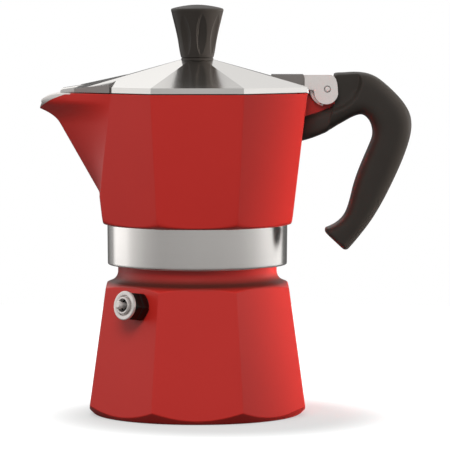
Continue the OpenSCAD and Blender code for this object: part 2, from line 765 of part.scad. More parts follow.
boiler();
valve_washer();
valve_body();
valve_retainer();
valve_spring();
valve_stem();
valve_seal();
funnel();
funnel_plate();
gasket();
filter_plate();
collector();
column();
handle();
handle_screw();
hinge_pin();
lid();
knob();
knob_insert();
knob_washer();
knob_screw();
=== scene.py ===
"""Looks of the moka pot: finished shells, knob, handle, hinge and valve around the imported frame."""
import math
import bmesh
import bpy
import numpy as np
from mathutils import Matrix, Vector


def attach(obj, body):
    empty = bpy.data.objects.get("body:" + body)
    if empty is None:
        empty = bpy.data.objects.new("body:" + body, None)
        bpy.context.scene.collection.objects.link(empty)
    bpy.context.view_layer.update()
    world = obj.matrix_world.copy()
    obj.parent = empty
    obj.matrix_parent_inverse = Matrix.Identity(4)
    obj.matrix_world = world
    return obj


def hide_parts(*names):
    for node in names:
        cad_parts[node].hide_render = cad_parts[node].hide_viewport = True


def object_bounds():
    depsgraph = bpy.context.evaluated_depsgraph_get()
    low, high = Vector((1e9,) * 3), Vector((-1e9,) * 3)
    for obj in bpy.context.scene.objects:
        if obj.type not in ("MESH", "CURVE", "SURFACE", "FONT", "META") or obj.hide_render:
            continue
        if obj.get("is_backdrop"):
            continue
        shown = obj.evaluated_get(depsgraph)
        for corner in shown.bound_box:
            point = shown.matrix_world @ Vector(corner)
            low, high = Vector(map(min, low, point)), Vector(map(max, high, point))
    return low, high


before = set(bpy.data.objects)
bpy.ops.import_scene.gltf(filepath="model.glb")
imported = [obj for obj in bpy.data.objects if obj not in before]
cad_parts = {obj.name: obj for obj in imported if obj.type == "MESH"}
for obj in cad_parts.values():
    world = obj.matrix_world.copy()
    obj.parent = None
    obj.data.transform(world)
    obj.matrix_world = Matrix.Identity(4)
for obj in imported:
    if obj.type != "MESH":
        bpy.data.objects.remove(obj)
cad_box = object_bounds()

MM = 0.001
FACETS = 8

# ---- sizes, in millimetres
BOILER_FLATS = 86.8
SHOULDER_FLATS = 72.6
BOILER_H = 51.9
BOILER_WALL = 3.2
BOILER_FLOOR = 4.0
FOOT_CHAMFER = 1.8
SHOULDER_ANGLE = math.radians(22)
COVE_R = 4.2
NECK_R = 31.0
NECK_BASE_R = 31.8
NECK_BORE = 27.3
NECK_TOP = 70.0
THREAD_PITCH = 3.5
SKIRT_BORE = 32.2

COLLAR_Z = 59.8
COLLAR_R = 36.05
COLLAR_TOP = 76.0
FLANGE_TOP = 70.9
GASKET_TOP = 75.4
FILTER_TOP = 76.2
GASKET_R = 32.6
FILTER_R = 28.2
FLOOR_Z = 80.2
HUB_R = 8.53
HUB_FLOOR = 84.2
CUP_R = 5.0
CUP_MOUTH_R = 26.5
CUP_TOP = 81.0
RIM_Z = 128.5
RIM_R = 44.2
CHAMBER_FLATS = 74.8
WALL_RIM = 43.5
LID_FLAT = 43.5
CHAMBER_H = 52.5
CHAMBER_WALL = 2.6
FLOOR_FILLET = 7.0

SPOUT_H = 40.6
SPOUT_SPREAD = 9.8
SPOUT_TIP_X = 64.0
SPOUT_NECK_X = RIM_R + 10.5
SPOUT_NECK_DROP = 12.6
SPOUT_DROP = 6.0
SPOUT_SWEEP = 0.0465
LIP_LEN = 10.0

HINGE_X = 51.7
HINGE_Z = 130.0
PIN_R = 1.25
EAR_IN = 6.8
EAR_OUT = 8.9
BOSS_OUTER_R = 7.1
BOSS_INNER_R = 5.6
RIB_HALF = 7.0
LID_Z = 128.9
LID_EDGE_Z = 131.1
LID_TOP = 141.5
LID_T = 1.8
KNOB_SEAT_R = 7.0


# ---- mesh helpers

def smooth_min(a, b, blend):
    """The lesser of a and b, rounded where they are within blend of each other."""
    near = np.maximum(blend - np.abs(a - b), 0.0) / blend
    return np.minimum(a, b) - near * near * blend * 0.25


def smooth_step(low, high, x):
    t = np.clip((x - low) / (high - low), 0.0, 1.0)
    return t * t * (3.0 - 2.0 * t)


def ring_points(r, angles, z):
    """Points at radius r and height z for every angle. Both may be one number or one per angle."""
    r = np.broadcast_to(r, angles.shape)
    return np.column_stack([r * np.cos(angles), r * np.sin(angles), np.broadcast_to(z, angles.shape)])


def polar(r, t):
    return r * math.cos(t), r * math.sin(t)


def add_object(name, data):
    obj = bpy.data.objects.new(name, data)
    bpy.context.scene.collection.objects.link(obj)
    return obj


def new_object(name, verts, faces, materials, indices=None, smooth=True):
    """Mesh object from vertices in millimetres, with normals made to point outwards."""
    mesh = bpy.data.meshes.new(name)
    mesh.from_pydata([tuple(float(c) * MM for c in v) for v in verts], [], faces)
    for material in materials:
        mesh.materials.append(material)
    if indices is not None:
        mesh.polygons.foreach_set("material_index", indices)
    mesh.polygons.foreach_set("use_smooth", [smooth] * len(mesh.polygons))
    mesh.update()
    obj = add_object(name, mesh)
    bm = bmesh.new()
    bm.from_mesh(mesh)
    bmesh.ops.recalc_face_normals(bm, faces=bm.faces)
    bm.to_mesh(mesh)
    bm.free()
    return obj


def grid_object(name, rings, materials, material_of=lambda ring, centre: 0, loop=False):
    """Surface through rings of equal length, joined into a loop or closed with a cap at each end.

    material_of(ring, centre) gives the place of a face's material in the list.
    """
    rings = np.asarray(rings, dtype=float)
    count, around = rings.shape[:2]
    verts = [tuple(v) for ring in rings for v in ring]
    faces, indices = [], []
    for j in range(count if loop else count - 1):
        k = (j + 1) % count
        for i in range(around):
            n = (i + 1) % around
            faces.append((j * around + i, j * around + n, k * around + n, k * around + i))
            centre = (rings[j, i] + rings[j, n] + rings[k, n] + rings[k, i]) / 4.0
            indices.append(material_of(j, centre))
    for j in () if loop else (0, count - 1):
        pole = len(verts)
        verts.append(tuple(rings[j].mean(axis=0)))
        for i in range(around):
            faces.append((j * around + i, j * around + (i + 1) % around, pole))
            indices.append(material_of(j, rings[j, i]))
    return new_object(name, verts, faces, materials, indices)


def turned(name, profile, finish, around, place):
    """Surface of revolution about the Z of place, closed on itself or on the axis."""
    angles = np.linspace(0, 2 * math.pi, around, endpoint=False)
    rings = [[(*polar(r, t), z) for t in angles] for r, z in profile]
    on_axis = profile[0][0] < 0.02 and profile[-1][0] < 0.02
    if on_axis:
        obj = grid_object(name, rings[1:-1], [finish])
        for pole, (_, z) in zip(list(obj.data.vertices)[-2:], (profile[0], profile[-1])):
            pole.co = (0, 0, z * MM)
    else:
        obj = grid_object(name, rings, [finish], loop=True)
    obj.data.transform(place)
    return obj


def arc(cx, cz, r, start, end, steps):
    """Points of an arc as [radius, height], angles in degrees."""
    turns = [math.radians(start + (end - start) * i / steps) for i in range(steps + 1)]
    return [(cx + r * math.cos(t), cz + r * math.sin(t)) for t in turns]


def round_profile(points, radii, steps):
    """Rounds each inner corner of an open [r, z] profile by its own radius."""
    pts = [Vector((p[0], p[1])) for p in points]
    out = [tuple(pts[0])]
    for i in range(1, len(pts) - 1):
        r = radii[i - 1]
        a, b, c = pts[i - 1], pts[i], pts[i + 1]
        u, w = (a - b).normalized(), (c - b).normalized()
        turn = math.pi - u.angle(w) if u.length and w.length else 0
        if r <= 0 or turn < 0.05:
            out.append(tuple(b))
            continue
        reach = min(r * math.tan(turn / 2), (a - b).length * 0.49, (c - b).length * 0.49)
        p, q = b + u * reach, b + w * reach
        for k in range(steps + 1):
            t = k / steps
            out.append(tuple(p * (1 - t) ** 2 + b * 2 * t * (1 - t) + q * t ** 2))
    out.append(tuple(pts[-1]))
    return out


def prism(name, outline, low, high, materials):
    """Outline of [x, z] points extruded along Y."""
    n = len(outline)
    verts = [(a, level, b) for level in (low, high) for a, b in outline]
    faces = [tuple(range(n)), tuple(range(2 * n - 1, n - 1, -1))]
    faces += [(i, (i + 1) % n, n + (i + 1) % n, n + i) for i in range(n)]
    return new_object(name, verts, faces, materials, smooth=False)


def apply_modifiers(obj):
    depsgraph = bpy.context.evaluated_depsgraph_get()
    mesh = bpy.data.meshes.new_from_object(obj.evaluated_get(depsgraph))
    obj.modifiers.clear()
    obj.data = mesh


def combine(target, others, operation):
    """Boolean of target with each of the others, which are then removed."""
    for other in others:
        mod = target.modifiers.new("join", "BOOLEAN")
        mod.operation = operation
        mod.solver = "EXACT"
        mod.object = other
        apply_modifiers(target)
        bpy.data.objects.remove(other)


def drill(name, r, low, high, material, place):
    """Cylinder that cuts a round hole, along Z of the frame place."""
    return turned(name, [(0.001, low), (r, low), (r, high), (0.001, high)], material, 64, place)


def bevel(obj, width, angle):
    """Rounded edges with flat faces left flat."""
    mod = obj.modifiers.new("edges", "BEVEL")
    mod.width = width * MM
    mod.segments = 3
    mod.limit_method = "ANGLE"
    mod.angle_limit = math.radians(angle)
    mod.harden_normals = True
    mod.use_clamp_overlap = True
    for polygon in obj.data.polygons:
        polygon.use_smooth = True
    apply_modifiers(obj)


def dress(obj, body, slot, *nodes):
    """Shades a finished piece evenly, gives it its body and hides the nodes it replaces. slot is not used.
    """
    mod = obj.modifiers.new("normals", "WEIGHTED_NORMAL")
    mod.keep_sharp = True
    mod.weight = 100
    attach(obj, body)
    if nodes:
        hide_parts(*nodes)


# ---- materials

def material(name, color, **sockets):
    """Material of one colour, with other inputs of its shader set by name."""
    mat = bpy.data.materials.new(name)
    mat.use_nodes = True
    drive(mat, "Base Color", (*color, 1.0))
    for key, value in sockets.items():
        drive(mat, key.replace("_", " "), value)
    return mat


def put(owner, socket, value):
    """Sets an input, or links it to another node's output."""
    if isinstance(value, bpy.types.NodeSocket):
        owner.node_tree.links.new(value, socket)
    else:
        socket.default_value = value


def add_node(owner, kind, *inputs, **named):
    """Node in the tree of a material or world, with inputs by order and inputs or properties by name."""
    node = owner.node_tree.nodes.new("ShaderNode" + kind)
    for key, value in named.items():
        socket = key.replace("_", " ")
        if socket in node.inputs:
            put(owner, node.inputs[socket], value)
        else:
            setattr(node, key, value)
    for socket, value in zip(node.inputs, inputs):
        put(owner, socket, value)
    return node


def add_math(owner, operation, *values):
    return add_node(owner, "Math", *values, operation=operation).outputs[0]


def mix_colors(owner, share, low, high):
    node = add_node(owner, "Mix", data_type="RGBA", Factor=share, A=low, B=high)
    return node.outputs["Result"]


def coordinates(mat, scale=(1.0, 1.0, 1.0)):
    """Object coordinates in metres, scaled per axis."""
    place = add_node(mat, "TexCoord").outputs["Object"]
    return add_node(mat, "Mapping", Vector=place, Scale=scale).outputs["Vector"]


def noise(mat, vector, scale, detail=3.0, roughness=0.5):
    node = add_node(mat, "TexNoise", Vector=vector, Scale=scale, Detail=detail, Roughness=roughness)
    return node.outputs["Fac"]


def fade(owner, value, start, end, low=0.0, high=1.0, interpolation="LINEAR"):
    """low at start, high at end, held outside them."""
    node = add_node(owner, "MapRange", interpolation_type=interpolation, Value=value, From_Min=start,
                    From_Max=end, To_Min=low, To_Max=high)
    return node.outputs["Result"]


def drive(mat, name, value):
    """Puts a value or an output into the material's shader."""
    put(mat, mat.node_tree.nodes["Principled BSDF"].inputs[name], value)


def vary_color(mat, share, dark, light):
    drive(mat, "Base Color", mix_colors(mat, share, (*dark, 1.0), (*light, 1.0)))


def vary_around(mat, share, color, dark, light):
    """Varies a colour between two multiples of itself."""
    vary_color(mat, share, tuple(c * dark for c in color), tuple(min(c * light, 0.97) for c in color))


def vary_roughness(mat, share, low, high):
    drive(mat, "Roughness", fade(mat, share, 0.0, 1.0, low, high))


def bump(mat, height, distance, strength):
    node = add_node(mat, "Bump", Height=height, Distance=distance, Strength=strength)
    drive(mat, "Normal", node.outputs["Normal"])


# Painted shade in the groove: a dark colour standing in for the shade there, and the heights in metres above
# the boiler's body where it sets in and where it ends, each as [none of it, all of it]
GROOVE_SHADE_COLOR = (0.075, 0.016, 0.012)
GROOVE_SHADE_START = (-0.0002, 0.0012)
GROOVE_SHADE_END = (0.0055, 0.0020)


def paint_groove_shade(mat, where, foot):
    """Painted shade: a darker colour in the groove above height foot, standing in for the shade there."""
    base = mat.node_tree.nodes["Principled BSDF"].inputs["Base Color"]
    height = add_node(mat, "SeparateXYZ", where).outputs["Z"]
    shares = [fade(mat, height, foot + a, foot + b) for a, b in (GROOVE_SHADE_START, GROOVE_SHADE_END)]
    both = add_math(mat, "MULTIPLY", *shares)
    put(mat, base, mix_colors(mat, both, base.links[0].from_socket, (*GROOVE_SHADE_COLOR, 1.0)))


def red_paint(name, groove):
    """Enamel. groove is the height in metres of the foot of the painted shade in the groove, or None."""
    mat = material(name, (0.45, 0.016, 0.011), Roughness=0.42, Specular_IOR_Level=0.38)
    where = coordinates(mat)
    vary_color(mat, noise(mat, where, 60.0), (0.435, 0.0175, 0.0130), (0.465, 0.0195, 0.0142))
    if groove:
        paint_groove_shade(mat, where, groove)
    vary_roughness(mat, noise(mat, where, 900.0, 2.0), 0.38, 0.46)
    bump(mat, noise(mat, where, 2600.0, 2.0), 0.00002, 0.35)
    return mat


def lathe_metal(name, color, roughness, anisotropic):
    """Metal turned on a lathe: fine rings around the pot's axis."""
    mat = material(name, color, Metallic=1.0, Roughness=roughness, Anisotropic=anisotropic,
                   Anisotropic_Rotation=0.25)
    tangent = add_node(mat, "Tangent", direction_type="RADIAL", axis="Z")
    drive(mat, "Tangent", tangent.outputs["Tangent"])
    lines = noise(mat, coordinates(mat, (12.0, 12.0, 5200.0)), 1.0, 4.0, 0.6)
    vary_around(mat, lines, color, 0.93, 1.04)
    bump(mat, lines, 0.00001, 0.5)
    return mat


def polished_metal(name, color, roughness, streak=(30.0, 30.0, 30.0)):
    mat = material(name, color, Metallic=1.0, Roughness=roughness)
    marks = noise(mat, coordinates(mat, streak), 6.0, 5.0, 0.65)
    vary_roughness(mat, marks, roughness * 0.75, roughness * 1.3)
    vary_around(mat, marks, color, 0.95, 1.03)
    return mat


def satin_metal(name, color, metallic, roughness, grain_scale):
    """Tumbled or cast surface: part of the light is scattered."""
    mat = material(name, color, Metallic=metallic, Roughness=roughness)
    grain = noise(mat, coordinates(mat), grain_scale, 4.0, 0.7)
    vary_around(mat, grain, color, 0.9, 1.08)
    bump(mat, grain, 0.00004, 0.5)
    return mat


def cast_metal():
    mat = material("cast_aluminium", (0.62, 0.61, 0.59), Metallic=1.0, Roughness=0.42)
    grain = noise(mat, coordinates(mat), 420.0, 4.0, 0.6)
    vary_color(mat, grain, (0.54, 0.53, 0.51), (0.70, 0.69, 0.67))
    bump(mat, grain, 0.0001, 0.5)
    return mat


def plastic():
    mat = material("black_phenolic", (0.028, 0.0235, 0.0200), Roughness=0.40, Specular_IOR_Level=0.30)
    where = coordinates(mat)
    vary_color(mat, noise(mat, where, 140.0), (0.026, 0.0215, 0.0180), (0.030, 0.0255, 0.0220))
    vary_roughness(mat, noise(mat, where, 1400.0, 3.0), 0.36, 0.46)
    bump(mat, noise(mat, where, 3200.0, 2.0), 0.00002, 0.4)
    return mat


def rubber(name, dark, light):
    mat = material(name, light, Roughness=0.6)
    where = coordinates(mat)
    vary_color(mat, noise(mat, where, 300.0), dark, light)
    bump(mat, noise(mat, where, 2400.0), 0.00002, 0.4)
    return mat


RED = red_paint("red_enamel", None)
# Boiler enamel, with painted shade in its groove above the shoulder
RED_BOILER_GROOVE_SHADE = red_paint("red_enamel_groove_shade", BOILER_H * MM)
BAND = lathe_metal("turned_band", (0.95, 0.92, 0.90), 0.24, 0.6)
MACHINED = lathe_metal("machined_aluminium", (0.74, 0.73, 0.71), 0.34, 0.5)
LID_METAL = polished_metal("polished_lid", (0.88, 0.87, 0.85), 0.16, (8.0, 60.0, 60.0))
LIP_METAL = satin_metal("ground_lip", (0.86, 0.83, 0.81), 0.6, 0.36, 500.0)
CAST = cast_metal()
EAR_METAL = satin_metal("tumbled_aluminium", (0.86, 0.82, 0.80), 0.5, 0.45, 1500.0)
# Dark grey for the lid's upright rib and nose walls: painted shade
RECESS_SHADE_METAL = satin_metal("recess_painted_shade_aluminium", (0.27, 0.25, 0.24), 0.6, 0.5, 700.0)
SPUN = lathe_metal("spun_aluminium", (0.80, 0.79, 0.78), 0.3, 0.5)
SATIN_STEEL = satin_metal("satin_steel", (0.78, 0.74, 0.72), 0.75, 0.34, 900.0)
DARK_STEEL = polished_metal("black_steel", (0.045, 0.043, 0.04), 0.36)
SPRING = polished_metal("drawn_steel", (0.55, 0.54, 0.53), 0.3)
BRASS = polished_metal("turned_brass", (0.72, 0.52, 0.22), 0.28)
BLACK = plastic()
BLACK_RUBBER = rubber("black_rubber", (0.015, 0.015, 0.015), (0.03, 0.03, 0.03))
WHITE_RUBBER = rubber("white_rubber", (0.70, 0.69, 0.64), (0.82, 0.81, 0.77))

CAD_FINISHES = {
    "valve_spring": SPRING, "valve_seal": WHITE_RUBBER, "valve_stem": SATIN_STEEL,
    "valve_washer": BLACK_RUBBER, "funnel": SPUN, "funnel_plate": SPUN, "filter_plate": SPUN,
    "gasket": WHITE_RUBBER, "column": MACHINED, "handle_screw": SPRING, "knob_insert": BRASS,
    "knob_washer": SPRING, "knob_screw": SPRING,
}


def finish_cad_nodes():
    for name, finish in CAD_FINISHES.items():
        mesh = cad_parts[name].data
        mesh.materials.clear()
        mesh.materials.append(finish)


# ---- faceted rings

# Places along half a facet, from its corner (1) to its middle (0), close together at the rounded corner
HALF_FACET = (0.992, 0.985, 0.977, 0.968, 0.957, 0.94, 0.9, 0.84, 0.76, 0.66, 0.56, 0.45, 0.33, 0.22, 0.11)
HALF_TURN = math.radians(180 / FACETS)


def facet_angles():
    """Directions around the axis, dense at the eight corners."""
    shares = [-1.0] + [-s for s in HALF_FACET] + [0.0] + [s for s in reversed(HALF_FACET)]
    one = [math.atan(s * math.tan(HALF_TURN)) for s in shares]
    return np.array([a + 2 * HALF_TURN * i for i in range(FACETS) for a in one])


def facet_share(angles, flat, blend):
    """Distance to the octagon over its flat radius, with rounded corners."""
    local = np.abs((angles + HALF_TURN) % (2 * HALF_TURN) - HALF_TURN)
    return smooth_min(flat / np.cos(local), flat / np.cos(2 * HALF_TURN - local), blend) / flat


def boiler_flat(z):
    return (BOILER_FLATS + (SHOULDER_FLATS - BOILER_FLATS) * z / BOILER_H) / 2


def make_boiler():
    bare = 1
    angles = facet_angles()
    share = facet_share(angles, BOILER_FLATS / 2, 0.5)
    lean = (BOILER_FLATS - SHOULDER_FLATS) / 2 / BOILER_H
    half = BOILER_FLATS / 2
    foot_r = half - FOOT_CHAMFER
    slope = 1 / math.tan(SHOULDER_ANGLE)
    shoulder_r = SHOULDER_FLATS / 2
    edge_z = BOILER_H + 0.6
    z_low = (share * half - foot_r) / (1 + share * lean)
    z_high = (shoulder_r + edge_z * slope - share * half) / (slope - share * lean)

    def radius(z):
        wall = share * (half - lean * z)
        r = smooth_min(wall, foot_r + z, 0.35)
        return smooth_min(r, shoulder_r + (edge_z - z) * slope, 0.9)

    rings, kinds = [], []

    def add(r, z, kind=0):
        rings.append(ring_points(r, angles, z))
        kinds.append(kind)

    # Machined base
    for r in (6.0, 14.0, 24.0, 32.0, 38.0, foot_r - 0.8, foot_r - 0.3):
        add(r, 0.0, bare)
    # Rounded edge, chamfer, facets and the bend into the shoulder, close together where it turns
    add(foot_r - 0.05, 0.1)
    heights = [z_low * s + 0.1 * (1 - s) for s in (0.12, 0.35, 0.6, 0.8)]
    heights += [z_low + dz for dz in (-0.3, -0.2, -0.1, 0.0, 0.1, 0.2, 0.35, 0.6, 1.2)]
    heights += [(z_low + 1.2) * (1 - s) + (z_high - 1.2) * s for s in np.linspace(0.0, 1.0, 26)[1:-1]]
    heights += [z_high + dz for dz in (-1.2, -0.7, -0.45, -0.3, -0.2, -0.1, 0.0, 0.1, 0.2, 0.3, 0.42)]
    for z in heights:
        add(radius(z), z)
    # Shoulder, groove and neck
    cove_x = NECK_BASE_R + COVE_R
    touch_r = cove_x - COVE_R * math.sin(SHOULDER_ANGLE)
    touch_z = edge_z + (shoulder_r - touch_r) * math.tan(SHOULDER_ANGLE)
    cove_z = touch_z + COVE_R * math.cos(SHOULDER_ANGLE)
    for s in (0.35, 0.7):
        z = (z_high + 0.42) * (1 - s) + touch_z * s
        add(shoulder_r + (edge_z - z) * slope, z)
    for r, z in arc(cove_x, cove_z, COVE_R, 270 - math.degrees(SHOULDER_ANGLE), 180, 12):
        add(r, z)
    for z in (58.2, 58.9, 59.4):
        add(NECK_BASE_R, z)
    inner = boiler_flat(BOILER_H - 4) - BOILER_WALL
    inner_foot = boiler_flat(BOILER_FLOOR) - BOILER_WALL
    neck = round_profile([
        (NECK_BASE_R, 59.6), (NECK_R, 60.4), (NECK_R, NECK_TOP), (NECK_BORE, NECK_TOP),
        (NECK_BORE, BOILER_H + 1), (inner, BOILER_H - 4), (inner_foot, BOILER_FLOOR + 5),
        (inner_foot - 0.4, BOILER_FLOOR), (4.0, BOILER_FLOOR)], [0.3, 0.6, 0.6, 3.0, 6.0, 0.1, 5.0], 5)
    for r, z in neck:
        add(r, z, bare)

    def material_of(j, centre):
        return kinds[min(j + 1, len(kinds) - 1)]

    obj = grid_object("boiler_shell", rings, [RED_BOILER_GROOVE_SHADE, MACHINED], material_of)
    combine(obj, [drill("valve_bore", VALVE_BORE_R, -9.0, 3.0, MACHINED, valve_place())], "DIFFERENCE")
    dress(obj, "boiler", "red_paint", "boiler")


def make_threads():
    """Right-hand helical threads: one ridge on the neck, one inside the skirt."""
    helix("neck_thread", NECK_R - 0.25, NECK_R + 0.9, 61.9, 67.9, "boiler", "red_paint", 0.0)
    helix("skirt_thread", SKIRT_BORE + 0.25, SKIRT_BORE - 0.9, 62.1, 67.6, "collector", "red_paint", 180.0)


def helix(name, root, crest, low, high, body, slot, start):
    """Ridge from root to crest radius that climbs from low to high and tapers out at both ends."""
    turns = (high - low) / THREAD_PITCH
    steps = int(turns * 96)
    rings = []
    for i in range(steps + 1):
        f = i / steps
        angle = math.radians(start) + 2 * math.pi * turns * f
        grow = min(1.0, f * turns * 8, (1 - f) * turns * 8)
        z = low + (high - low) * f
        tip = root + (crest - root) * max(grow, 0.05)
        ring = []
        top = tip + (crest - root) * 0.05
        for r, dz in ((root, -1.45), (tip, -0.45), (top, 0.0), (tip, 0.45), (root, 1.45)):
            ring.append((*polar(r, angle), z + dz))
        rings.append(ring)
    obj = grid_object(name, rings, [MACHINED])
    dress(obj, body, slot)


# ---- upper chamber

def chamber_flat(z):
    return (CHAMBER_FLATS + 2 * (WALL_RIM - CHAMBER_FLATS / 2) * (z - COLLAR_TOP) / CHAMBER_H) / 2


def keel_x(down):
    """How far the spout's keel reaches at a depth below the rim."""
    foot = chamber_flat(RIM_Z - SPOUT_H)
    if down >= SPOUT_H:
        return chamber_flat(RIM_Z - down)
    if down >= SPOUT_NECK_DROP:
        return foot + (SPOUT_NECK_X - foot) * (SPOUT_H - down) / (SPOUT_H - SPOUT_NECK_DROP)
    rise = SPOUT_NECK_DROP - max(down, SPOUT_DROP - 2.5)
    slope = (SPOUT_NECK_X - foot) / (SPOUT_H - SPOUT_NECK_DROP)
    return SPOUT_NECK_X + slope * rise + SPOUT_SWEEP * rise ** 2.5


ARC_STEPS = 12
EDGE_STEPS = 22
KEEL = 4                  # place of the keel's corner among the nine


def ring_corners(z, inset):
    """Corners of the outline at height z, moved inwards by inset, and how far the spout has grown."""
    down = RIM_Z - z
    flat = chamber_flat(z) - inset
    reach = max(keel_x(down) - inset * 1.3, flat)
    rise = max(0.0, 1 - down / SPOUT_H)
    crease = flat - (SPOUT_SPREAD + inset * 0.25) * rise
    wide = flat * math.sqrt(2) - crease
    corner = flat / math.cos(HALF_TURN)
    turns = [math.radians(degrees) for degrees in (22.5, 67.5, 112.5, 247.5, 292.5, 337.5)]
    plain = [polar(corner, t) for t in turns]
    spout = [(-crease, wide), (-reach, 0.0), (-crease, -wide)]
    return plain[:3] + spout + plain[3:], rise


def rounded_ring(z, inset):
    """The outline at height z with each corner rounded, as points that run round the axis."""
    corners, rise = ring_corners(z, inset)
    extra = inset * 0.9
    radii = [1.5 + extra] * 9
    radii[KEEL - 1] = radii[KEEL + 1] = 1.5 + 2.5 * rise + extra
    radii[KEEL] = 3.0 + (2.2 - 3.0) * rise
    pts = [Vector(c) for c in corners]
    n = len(pts)
    arcs = []
    for i in range(n):
        a, b, c = pts[i - 1], pts[i], pts[(i + 1) % n]
        u, w = (a - b).normalized(), (c - b).normalized()
        turn = max(math.pi - u.angle(w), 0.0)
        if u.x * w.y - u.y * w.x > 0:
            turn = 0.0
        r = radii[i]
        if i == KEEL and turn > 0.02:
            b = b + Vector((-1, 0)) * r * (1 / math.cos(turn / 2) - 1)
            u, w = (a - b).normalized(), (c - b).normalized()
            turn = max(math.pi - u.angle(w), 0.0)
        reach = min(r * math.tan(turn / 2), (a - b).length * 0.4, (c - b).length * 0.4)
        reach = max(reach, 0.3)
        p, q = b + u * reach, b + w * reach
        shares = [k / ARC_STEPS for k in range(ARC_STEPS + 1)]
        if turn < 0.03:
            arcs.append([p + (q - p) * f for f in shares])
            continue
        r = reach / math.tan(turn / 2)
        middle = b + (u + w).normalized() * (r / math.cos(turn / 2))
        start = math.atan2((p - middle).y, (p - middle).x)
        arcs.append([middle + Vector(polar(1, start + turn * f)) * r for f in shares])
    out = []
    for i in range(n):
        out += arcs[i]
        p, q = arcs[i][-1], arcs[(i + 1) % n][0]
        for k in range(1, EDGE_STEPS):
            f = k / EDGE_STEPS
            f = f + 0.45 * (f * f * (3 - 2 * f) - f)
            out.append(p + (q - p) * f)
    return np.array([tuple(p) for p in out])


class Outline:
    """Table of rounded rings by height, so that a column of the mesh can be read at any height."""

    def __init__(self, inset):
        self.heights = np.arange(COLLAR_TOP - 1, RIM_Z + 0.3, 0.25)
        self.table = np.array([rounded_ring(z, inset) for z in self.heights])
        self.count = self.table.shape[1]

    def at(self, z):
        """Points of every column, where column i is read at height z[i]."""
        z = np.broadcast_to(np.asarray(z, dtype=float), (self.count,))
        place = np.clip((z - self.heights[0]) / 0.25, 0, len(self.heights) - 1.001)
        low = place.astype(int)
        f = (place - low)[:, None]
        i = np.arange(self.count)
        return self.table[low, i] * (1 - f) + self.table[low + 1, i] * f


def rim_height(x):
    """Height of the rim: level, then down round the pouring lip."""
    start = SPOUT_TIP_X - LIP_LEN
    t = np.clip((-x - start) / (LIP_LEN + 0.1), 0.0, 1.0)
    return RIM_Z - SPOUT_DROP * (1 - np.sqrt(1 - t ** 2.1))


# Where the paint ends below the ground lip: [distance from the axis, height]
PAINT_EDGE = ((0.0, 128.6), (50.5, 128.6), (51.6, 128.3), (52.8, 127.95), (55.1, 127.15), (58.1, 125.9),
              (60.5, 124.4), (62.5, 122.95), (63.5, 122.4), (64.5, 122.1))
BARE_LIP_X = 51.0         # the rim is painted up to here, bare beyond


def paint_height(x):
    reach, height = zip(*PAINT_EDGE)
    return np.interp(-x, reach, height)


def follow(outline, height_at):
    """Height at which each column of the outline meets a curve given as height over x."""
    low = np.full(outline.count, RIM_Z - 12.0)
    high = np.full(outline.count, RIM_Z)
    for _ in range(36):
        middle = (low + high) / 2
        under = height_at(outline.at(middle)[:, 0]) > middle
        low = np.where(under, middle, low)
        high = np.where(under, high, middle)
    return (low + high) / 2


